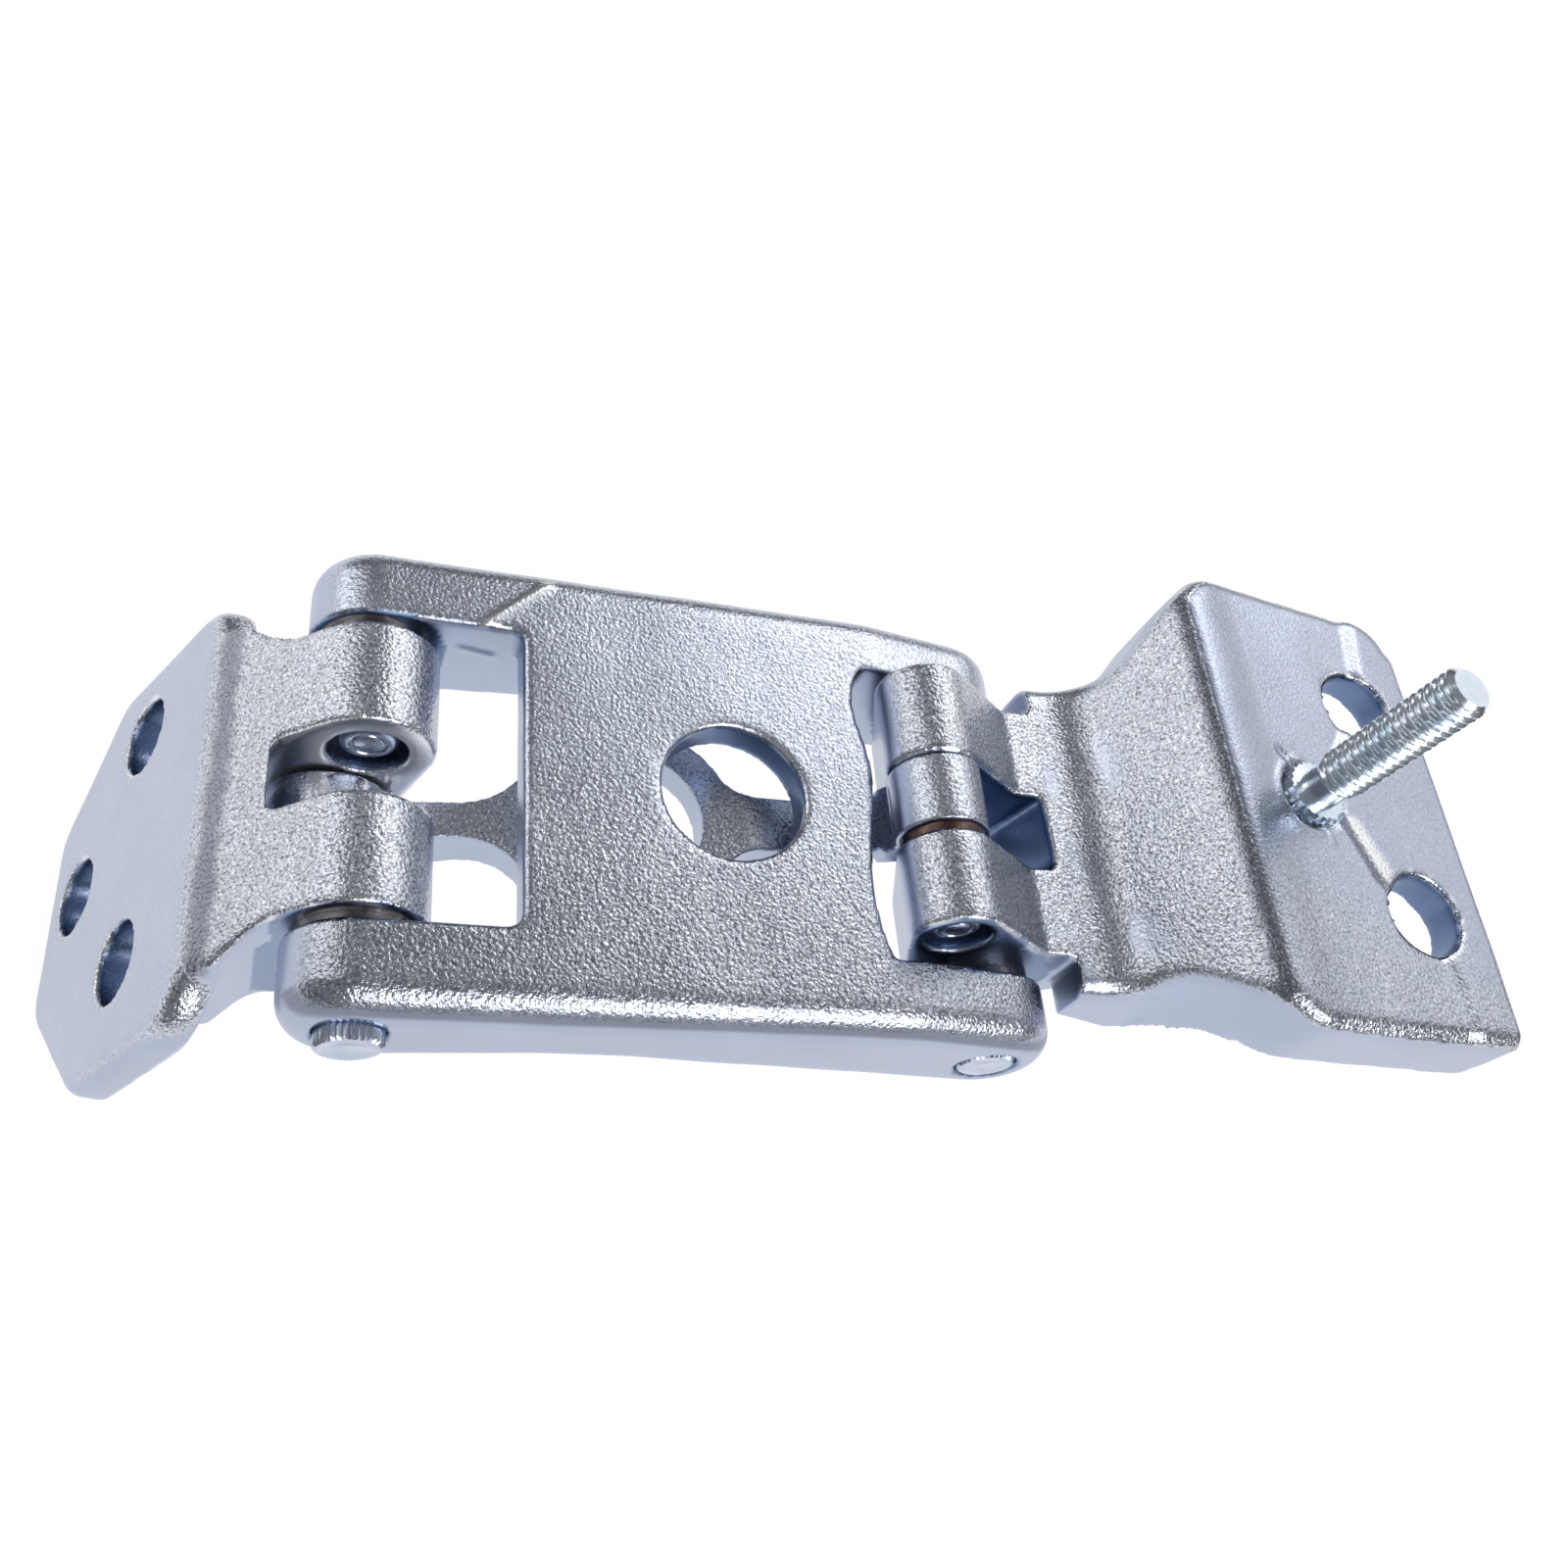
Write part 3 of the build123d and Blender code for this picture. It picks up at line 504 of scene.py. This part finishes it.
leftBracketLook = {
    "name": "left_bracket_casting", "voxel": 0.38, "soften": 9, "grain": 1.5, "grainLift": 0.014,
    "wave": 8.0, "waveLift": 0.09, "blendTurns": 80,
    "blends": [
        ((-132.0, -22.0, -24.5), (-132.0, -20.0, -24.5), 7.0),
        ((-132.0, 22.0, -24.0), (-132.0, 23.0, -24.0), 4.0),
    ],
}
leftMarks = {
    "lean": 66.0,                       # of the bent plate, in degrees
    "ridge": (-132.8, 0.0, -22.32),
    "bolts": ((17.0, -12.5), (32.5, 1.0), (18.0, 15.5)),      # down the plate from the ridge, and y
    "boltWall": 4.9,
    "slotHalf": 4.3,
    "slotDeep": 13.0,                   # behind pivot C
    # the slot's back wall takes more of the deep blue than its sides, partly its milled tint and partly
    # painted shade; slotShine is a painted highlight on the side walls
    "slotBack": 0.75,
    "slotSides": 0.22,
    "slotShine": 0.7,
    "earHalf": 16.6,
    "earReach": 8.0,
    "pinBore": 4.4,
    "bend": ((-131.5, -21.0, -21.4), (-131.5, 24.0, -21.4)),
    "bendWide": 1.5,
    "bendWander": 0.5,
    "bendPatch": 2.2,
    "bendShade": 0.7,
}
plateLean = math.radians(leftMarks["lean"])
plateOut = np.array((-math.sin(plateLean), 0, math.cos(plateLean)))
plateDown = np.array((-math.cos(plateLean), 0, -math.sin(plateLean)))


# The left bracket is pebbled over its web and barrels, and finer on its bolting face
def leftSkin(points, normals):
    marks = leftMarks
    toFace = normals @ plateOut
    pebbled = easeBetween(normals[:, 2], 0.2, 0.6) * (1 - 0.7 * easeBetween(toFace, 0.93, 0.98))
    sideways = np.abs(normals[:, 1])
    cutFace = (sideways > 0.6) | (normals[:, 0] > 0.6)
    inSlot = cutFace & (np.abs(points[:, 1]) < marks["slotHalf"])
    inSlot = inSlot & (points[:, 0] > place["axisC"][0] - marks["slotDeep"])
    bores = np.minimum(fromPivot(points, place["axisC"]), fromPivot(points, place["axisD"]))
    ends = (sideways > 0.7) & (np.abs(points[:, 1]) < marks["earHalf"]) & (bores < marks["earReach"])
    slotShade = np.where(normals[:, 0] > 0.6, marks["slotBack"], marks["slotSides"])
    milled = np.where(inSlot, slotShade, np.where((bores < marks["pinBore"]) | ends, 0.7, 0.0))
    fromRidge = (points - np.array(marks["ridge"])) @ plateDown
    for down, y in marks["bolts"]:
        fromHole = np.hypot(fromRidge - down, points[:, 1] - y)
        milled = np.where((fromHole < marks["boltWall"]) & (np.abs(toFace) < 0.6), 0.85, milled)
    # painted highlight on the slot's side walls
    paintedHighlight = marks["slotShine"] * inSlot * (sideways > 0.6)
    # a painted dark line along the bend between the web and the plate, in place of a dark reflection
    wander = marks["bendWander"] * swell(points, marks["bendPatch"], seeds["bend"])
    bend = fromStretch(points, *marks["bend"]) + wander
    paintedShade = marks["bendShade"] * fadeFrom(bend, marks["bendWide"], 4)
    return pebbled * (1 - milled), milled, paintedHighlight, paintedShade, np.zeros(len(points))


makeCasting("left_bracket", "left_bracket", leftBracketLook, leftSkin)

innerLinkLook = {
    "name": "inner_link_casting", "voxel": 0.25, "soften": 3, "grain": 1.3, "grainLift": 0.010,
    "wave": 7.0, "waveLift": 0.08, "blends": [], "blendTurns": 0,
}
innerMarks = {
    "grain": 0.8,
    "boreA": 3.0,
    "boreD": 4.6,
    "ring": 4.0,                        # milled rings round the bores, on the end faces
    "boreShade": 0.35,
    "knuckle": (112.0, 114.0),          # its top gets a painted highlight and a blue tint from here on, towards pivot D
    "knuckleShade": 0.22,
    "knuckleShine": 0.65,
}


# The inner link is lightly grained on top
def innerSkin(points, normals):
    marks = innerMarks
    pebbled = easeBetween(normals[:, 2], 0.3, 0.7) * marks["grain"]
    atA = fromPivot(points, place["axisA"]) - marks["boreA"]
    atD = fromPivot(points, place["axisD"]) - marks["boreD"]
    bores = np.minimum(atA, atD)
    ends = (np.abs(normals[:, 1]) > 0.8) & (bores < marks["ring"])
    atKnuckle = easeBetween(-points[:, 0], *marks["knuckle"]) * (normals[:, 2] > 0.0)
    milled = np.where(ends | (bores < 0.2), marks["boreShade"], 0.0)
    milled = np.maximum(milled, marks["knuckleShade"] * atKnuckle)
    # painted highlight on the knuckle's top
    paintedHighlight = marks["knuckleShine"] * atKnuckle
    none = np.zeros(len(points))
    return pebbled * (1 - milled), milled, paintedHighlight, none, none


makeCasting("inner_link", "inner_link", innerLinkLook, innerSkin)

rightBracketLook = {
    "name": "right_bracket_casting", "voxel": 0.42, "soften": 7, "grain": 1.5, "grainLift": 0.014,
    "wave": 9.0, "waveLift": 0.10, "blendTurns": 30,
    "blends": [((-23.9, -25.0, 1.7), (-23.9, 25.0, 1.7), 4.6)],
}
# The right part of the fixing plate stands a little higher: where its step runs, and how wide it is
rightStep = {
    "y": (-31.0, -23.0, -18.9, -9.9, -2.3, 3.0, 9.0, 18.9, 26.3, 31.0),
    "x": (2.2, 2.1, 1.3, -6.2, -9.0, -9.0, -4.5, 1.4, 2.7, 2.8),
    "halfWidth": (1.3, 1.3, 1.1, 0.75, 0.75, 0.8, 0.9, 1.3, 1.3, 1.3),
    "rise": 0.5,
}
rightMarks = {
    "plateFrom": -24.0,
    "plateGrain": 0.32,                 # grain on the plate, beside 1 elsewhere
    "cornerGrain": 0.5,                 # more towards its near corner
    "smearPatch": 6.5,
    "smearFrom": (28.0, 33.0),          # a smoother patch on the saddle, between these and its end
    "smearEnd": -39.0,
    "slot": (-5.6, 4.6, -36.5),         # near and far walls, and the back wall's x
    "lobeHalf": 16.8,
    "lobeReach": 9.0,
    "pinBore": 4.4,
    "boltWall": 5.5,
    "slit": ((-15.5, 5.9, 1.2), (-14.0, 3.9, 1.1)),
    "slitDeep": 0.35,
    "slitWide": 0.32,
    "mark": ((-11.3, -5.0, 0.9), (-11.1, -6.4, 0.9)),
    "markHigh": 0.16,
    "markWide": 0.3,
    "lipRadius": 4.9,                   # raised lip round the stud's collar
    "lipHigh": 0.22,
    "lipWide": 0.5,
    "facet": ((-7.2, -3.6, 0.6), (-4.6, -9.6, 0.3)),
    "facetWide": 1.2,
    "rimRadius": 5.35,
    "rimWide": 0.35,
    "rimPatch": 1.6,
    "crest": ((-24.2, -25.0, 1.6), (-24.2, 25.0, 1.6)),
    "crestWide": 1.5,
    "crestWander": 0.5,
    "crestPatch": 2.2,
    "crestShade": 0.65,
    "plateShade": 0.25,
}


# The right bracket is pebbled on its barrels, saddle and riser, and finer on its fixing face
def rightSkin(points, normals):
    marks = rightMarks
    x, y = points[:, 0], points[:, 1]
    toFace = normals @ np.array(faceOut)
    topSide = toFace > 0.5
    onPlate = (x > marks["plateFrom"]) & (toFace > 0.9)
    nearCorner = easeBetween(-y - 0.5 * x, 10.0, 26.0)
    plateGrain = marks["plateGrain"] + marks["cornerGrain"] * nearCorner
    smear = easeBetween(swell(points, marks["smearPatch"], seeds["smear"]), -0.05, 0.3)
    smear = smear * easeBetween(-x, *marks["smearFrom"]) * (x > marks["smearEnd"])
    pebbled = easeBetween(normals[:, 2], 0.2, 0.6) * np.where(onPlate, plateGrain, 1.0)
    pebbled = pebbled * (1 - 0.7 * smear)
    sideways = np.abs(normals[:, 1])
    cutFace = (sideways > 0.6) | (normals[:, 0] < -0.6)
    slotNear, slotFar, slotBack = marks["slot"]
    inSlot = cutFace & (y > slotNear) & (y < slotFar) & (x < slotBack)
    bores = np.minimum(fromPivot(points, place["axisA"]) + 0.4, fromPivot(points, place["axisB"]))
    ends = (sideways > 0.7) & (np.abs(y) < marks["lobeHalf"]) & (bores < marks["lobeReach"])
    milled = np.where(inSlot | (bores < marks["pinBore"]) | ends, 1.0, 0.0)
    bolts = np.hypot(x, np.abs(y) - 0.5 * place["boltSpan"])
    milled = np.where((bolts < marks["boltWall"]) & (toFace < 0.5), 1.0, milled)
    # the step across the plate, which the holes and the stud break
    stepX = np.interp(y, rightStep["y"], rightStep["x"])
    halfWidth = np.interp(y, rightStep["y"], rightStep["halfWidth"])
    share = easeBetween((x - stepX) / halfWidth, -1.0, 1.0) - 0.5
    lift = rightStep["rise"] * share * topSide * easeBetween(x, -21.0, -16.0)
    # the slit, the short mark and the lip beside the stud
    slit = fromStretch(points, *marks["slit"])
    lift = lift - marks["slitDeep"] * fadeFrom(slit, marks["slitWide"]) * topSide
    mark = fromStretch(points, *marks["mark"])
    lift = lift + marks["markHigh"] * fadeFrom(mark, marks["markWide"]) * topSide
    lip = np.hypot(x - studFoot.x - 0.2, y + 0.2) - marks["lipRadius"]
    lift = lift + marks["lipHigh"] * fadeFrom(lip, marks["lipWide"]) * topSide * (x < -12.0)
    # painted highlights on the step's facet between the stud and the near hole, and in patches on the
    # holes' rims
    facet = fromStretch(points, *marks["facet"])
    pebbled = np.maximum(pebbled, 0.8 * fadeFrom(facet, 1.3, 4) * topSide)
    rims = np.abs(bolts - marks["rimRadius"]) + (x < -1.0) * 2.0
    patches = easeBetween(swell(points, marks["rimPatch"], seeds["boltRims"]), -0.1, 0.3)
    paintedHighlight = 0.8 * fadeFrom(facet, marks["facetWide"], 4)
    paintedHighlight = paintedHighlight + 0.9 * fadeFrom(rims, marks["rimWide"]) * patches
    paintedHighlight = np.clip(paintedHighlight, 0.0, 1.0) * topSide
    # a painted dark line along the crest, in place of a dark reflection, and the plate a little darker
    # towards the crest
    wander = marks["crestWander"] * swell(points, marks["crestPatch"], seeds["crest"])
    crest = fromStretch(points, *marks["crest"]) + wander
    paintedShade = marks["crestShade"] * fadeFrom(crest, marks["crestWide"], 4)
    paintedShade = np.maximum(paintedShade, marks["plateShade"] * onPlate * easeBetween(-x, 6.0, 20.0))
    return pebbled * (1 - milled), milled, paintedHighlight, paintedShade, lift


makeCasting("right_bracket", "right_bracket", rightBracketLook, rightSkin)
print("castings made")

studLook = {
    "around": 64, "pitch": 1.0, "threadDepth": 0.56, "major": 3.0, "minorNeck": 2.5,
    "neckTop": 3.6, "length": 23.5, "rings": 230, "tip": 0.75, "tipSlope": 0.95,
    "collarRadius": 3.8, "collarHigh": 0.9, "collarTeeth": 24, "toothDeep": 0.32, "sunk": 0.7,
    "flank": (0.14, 0.76),              # share of the pitch before a flank, and along it
    "weld": 0.002, "creaseAngle": 40.0,
}


# Radius of the stud at a height above the fixing face and an angle round it
def studRadius(height, angle, look):
    if height < look["collarHigh"]:
        tooth = 0.5 + 0.5 * math.cos(angle * look["collarTeeth"])
        return look["collarRadius"] - look["toothDeep"] * (1 - tooth)
    if height < look["neckTop"]:
        return look["minorNeck"]
    phase = (height / look["pitch"] - angle / (2 * math.pi)) % 1.0
    start, run = look["flank"]
    groove = min(max((abs(2.0 * phase - 1.0) - start) / run, 0.0), 1.0)
    fadeIn = min((height - look["neckTop"]) / look["pitch"], 1.0)
    crest = look["major"] - (1 - fadeIn) * (look["major"] - look["minorNeck"])
    radius = crest - look["threadDepth"] * groove * fadeIn
    fromTip = look["length"] - height
    if fromTip < look["tip"]:
        radius = min(radius, look["major"] - (look["tip"] - fromTip) * look["tipSlope"])
    return radius


# A flat grid with its long way round a circle: the start of every turned piece
def addWrapGrid(name, around, rings):
    clearSelection()
    bpy.ops.mesh.primitive_grid_add(
        x_subdivisions=around, y_subdivisions=rings, size=1.0, location=(0, 0, 0)
    )
    piece = bpy.context.object
    piece.name = name
    return piece


# The stud is one grid wrapped round its axis, with its thread cut in
def makeStud(look):
    stud = addWrapGrid("stud_with_thread", look["around"], look["rings"])
    reach = look["length"] + look["sunk"]
    for vertex in stud.data.vertices:
        angle = (vertex.co.x + 0.5) * 2 * math.pi
        height = (vertex.co.y + 0.5) * reach - look["sunk"]
        radius = studRadius(height, angle, look)
        around = faceAlong * math.cos(angle) + Vector((0, 1, 0)) * math.sin(angle)
        vertex.co = (studFoot + around * radius + faceOut * height) * mm
    choose(stud)
    bpy.ops.object.mode_set(mode="EDIT")
    bpy.ops.mesh.select_all(action="SELECT")
    bpy.ops.mesh.remove_doubles(threshold=look["weld"] * mm)
    # the two open ends are closed
    bpy.ops.mesh.select_mode(type="EDGE")
    bpy.ops.mesh.select_all(action="DESELECT")
    bpy.ops.mesh.select_non_manifold()
    bpy.ops.mesh.edge_face_add()
    bpy.ops.mesh.select_all(action="SELECT")
    bpy.ops.mesh.normals_make_consistent(inside=False)
    bpy.ops.object.mode_set(mode="OBJECT")
    bpy.ops.object.shade_smooth_by_angle(angle=math.radians(look["creaseAngle"]))
    seatPiece(stud, turnedMaterial, "fixing_stud", "right_bracket")


makeStud(studLook)
print("stud made")

pinLook = {
    "around": 128,
    "stubRadius": 3.25,
    "pinRadius": 2.85,
    "pinReach": 15.2,
    "teeth": 32,
    "toothHigh": 0.22,
    "toothFlat": 0.6,                   # the knurl's waves are cut off at this share
    "knurlLong": 2.2,
    "knurlIn": 0.05,
    "weld": 0.002,
    "creaseAngle": 32.0,
}


# The rivet end of a pin: distance in from its end, radius, and no teeth
def domeProfile(radius):
    return [
        (0.05, 0.0, 0.0), (0.05, 0.45 * radius, 0.0), (0.12, 0.50 * radius, 0.0),
        (0.34, 0.54 * radius, 0.0), (0.34, 0.57 * radius, 0.0), (0.12, 0.62 * radius, 0.0),
        (0.10, 0.70 * radius, 0.0), (0.18, 0.80 * radius, 0.0), (0.38, 0.90 * radius, 0.0),
        (0.70, 0.97 * radius, 0.0), (1.10, radius, 0.0),
    ]


# A stub pin from its rivet end in the slot to its knurled head outside
def stubProfile(length, look):
    radius = look["stubRadius"]
    toothed = radius - look["knurlIn"]
    knurl = length - look["knurlLong"]
    return domeProfile(radius) + [
        (knurl - 0.3, radius, 0.0), (knurl, toothed, 1.0), (length - 0.35, toothed, 1.0),
        (length - 0.05, radius - 0.30, 0.6), (length, radius - 0.55, 0.0),
        (length, 0.62 * radius, 0.0), (length - 0.05, 0.58 * radius, 0.0), (length - 0.05, 0.0, 0.0),
    ]


# A pin is one grid wrapped round its axis, its poles merged into points
def makePin(nodeName, body, axis, startY, endY, profile, look):
    rings = len(profile) - 1
    pin = addWrapGrid(nodeName + "_turned", look["around"], rings)
    way = 1 if endY > startY else -1
    for vertex in pin.data.vertices:
        angle = (vertex.co.x + 0.5) * 2 * math.pi
        along, radius, tooth = profile[round((vertex.co.y + 0.5) * rings)]
        wave = 1.5 * math.cos(angle * look["teeth"])
        wave = max(-look["toothFlat"], min(look["toothFlat"], wave))
        radius = radius + tooth * look["toothHigh"] * wave
        x = axis[0] + radius * math.cos(angle)
        z = axis[1] + radius * math.sin(angle)
        vertex.co = Vector((x, startY + way * along, z)) * mm
    choose(pin)
    bpy.ops.object.mode_set(mode="EDIT")
    bpy.ops.mesh.select_all(action="SELECT")
    bpy.ops.mesh.remove_doubles(threshold=look["weld"] * mm)
    bpy.ops.mesh.normals_make_consistent(inside=False)
    bpy.ops.object.mode_set(mode="OBJECT")
    bpy.ops.object.shade_smooth_by_angle(angle=math.radians(look["creaseAngle"]))
    seatPiece(pin, headMaterial, nodeName, body)


# Each stub pin's pivot, and its rivet end's and head's places along Y
stubs = {
    "stub_pin_c_near": (place["axisC"], -4.9, -28.1),
    "stub_pin_c_far": (place["axisC"], 4.9, 26.7),
    "stub_pin_b_near": (place["axisB"], -6.2, -26.7),
    "stub_pin_b_far": (place["axisB"], 5.23, 26.7),
}
for nodeName, (axis, startY, endY) in stubs.items():
    profile = stubProfile(abs(endY - startY), pinLook)
    makePin(nodeName, "main_link", axis, startY, endY, profile, pinLook)
# pin A has a rivet end on both sides
reach = pinLook["pinReach"]
nearEnd = domeProfile(pinLook["pinRadius"])
farEnd = [(2 * reach - along, radius, tooth) for along, radius, tooth in reversed(nearEnd)]
makePin("pin_a", "inner_link", place["axisA"], -reach, reach, nearEnd + farEnd, pinLook)
print("pins made")

studioLook = {
    "middle": (-0.079, 0.0, -0.015),        # metres
    "floorMiddle": (-0.08, 0.0),
    "floorSize": 6.0,
    "floorDrop": 0.0005,
    "floorColour": (0.86, 0.86, 0.87, 1.0),
    "floorRough": 0.9,
    "floorGlow": 1.13,
    "floorGlowShare": 0.82,
    "skyColour": (0.97, 0.98, 1.0, 1.0),
    "skyBase": 0.25,
    "skyLow": 0.35,                         # share of the base that is left at the horizon
    "skyRise": (0.05, 0.5),
}
# Soft panels of the room as the metal sees them: where they hang, how wide they are and how bright
skyPanels = [
    {"toward": (0.66, 0.45, 0.60), "edge": 0.83, "core": 0.94, "power": 0.78},
    {"toward": (0.34, -0.59, 0.73), "edge": 0.945, "core": 0.98, "power": 4.0},
    {"toward": (-0.85, 0.47, 0.12), "edge": 0.88, "core": 0.97, "power": 0.62},
]
# Lamps by their offset from the middle, their size and their power, in metres and watts
lamps = {
    "frontSoftbox": {"offset": (0.22, -0.52, 0.32), "size": (0.50, 0.16), "power": 0.9},
    "leftSoftbox": {"offset": (-0.45, 0.28, 0.34), "size": (0.22, 0.50), "power": 0.5},
    "backSoftbox": {"offset": (0.30, 0.45, 0.42), "size": (0.40, 0.14), "power": 0.5},
}


# The pale floor; seen directly or in the metal it is close to white, and it keeps the shadow
def makeFloor(look):
    clearSelection()
    spot = (*look["floorMiddle"], cadLow[2] - look["floorDrop"])
    bpy.ops.mesh.primitive_plane_add(size=look["floorSize"], location=spot)
    floor = bpy.context.object
    floor.name = "studio_floor"
    bench = Bench("paleFloor")
    rays = bench.tree.nodes.new("ShaderNodeLightPath")
    seen = Wire(bench, rays.outputs["Is Camera Ray"]) + Wire(bench, rays.outputs["Is Glossy Ray"])
    seen = seen + Wire(bench, rays.outputs["Is Transmission Ray"])
    paper = bench.add(
        "ShaderNodeBsdfPrincipled", {},
        {"Base Color": look["floorColour"], "Roughness": look["floorRough"]},
    )
    glow = bench.add("ShaderNodeEmission", {}, {"Color": (1, 1, 1, 1), "Strength": look["floorGlow"]})
    share = seen.clamped() * look["floorGlowShare"]
    mixed = bench.add("ShaderNodeMixShader", {}, {0: share, 1: paper, 2: glow})
    floor.data.materials.append(bench.finish(mixed))


# The room's light: dim between a few soft panels, so that metal shows its form
def makeWorld(look, panels):
    world = bpy.data.worlds.new("studioWorld")
    world.use_nodes = True
    bpy.context.scene.world = world
    bench = Bench("", world.node_tree)
    where = bench.add("ShaderNodeTexCoord", output=0)
    height = bench.add("ShaderNodeSeparateXYZ", {}, {0: where}, 2)
    risen = bench.ramp(height, *look["skyRise"])
    bright = (look["skyLow"] + risen * (1 - look["skyLow"])) * look["skyBase"]
    for panel in panels:
        toward = tuple(Vector(panel["toward"]).normalized())
        facing = bench.add("ShaderNodeVectorMath", {"operation": "DOT_PRODUCT"}, {0: where, 1: toward}, 1)
        bright = bench.ramp(facing, panel["edge"], panel["core"]) * panel["power"] + bright
    back = bench.add("ShaderNodeBackground", {}, {0: look["skyColour"], 1: bright})
    out = world.node_tree.nodes.new("ShaderNodeOutputWorld")
    world.node_tree.links.new(back.socket, out.inputs["Surface"])


# A soft lamp that looks at the middle of the hinge
def addLamp(name, look, aim):
    light = bpy.data.lights.new(name, "AREA")
    light.shape = "RECTANGLE"
    light.size, light.size_y = look["size"]
    light.energy = look["power"]
    lamp = bpy.data.objects.new(name, light)
    bpy.context.scene.collection.objects.link(lamp)
    lamp.location = aim + Vector(look["offset"])
    lamp.rotation_euler = (aim - lamp.location).to_track_quat("-Z", "Y").to_euler()


# The camera stands where the photograph was taken from
cameraLook = {
    "place": (-126.1, -73.9, 114.1),        # millimetres
    "right": (0.93617, -0.08519, 0.34106),
    "up": (-0.09642, 0.87077, 0.48215),
    "back": (-0.33806, -0.48426, 0.80697),
    "lens": 32.625,
    "sensor": 36.0,
    "clip": (0.005, 20.0),                  # metres
}


def makeCamera(look):
    data = bpy.data.cameras.new("photoCamera")
    data.lens = look["lens"]
    data.sensor_width = look["sensor"]
    data.clip_start, data.clip_end = look["clip"]
    camera = bpy.data.objects.new("photoCamera", data)
    bpy.context.scene.collection.objects.link(camera)
    columns = Matrix((look["right"], look["up"], look["back"])).transposed()
    camera.matrix_world = Matrix.Translation(Vector(look["place"]) * mm) @ columns.to_4x4()
    bpy.context.scene.camera = camera


makeFloor(studioLook)
makeWorld(studioLook, skyPanels)
makeCamera(cameraLook)
for name, look in lamps.items():
    addLamp(name, look, Vector(studioLook["middle"]))
bpy.context.scene.view_settings.view_transform = "Standard"
print("studio set")
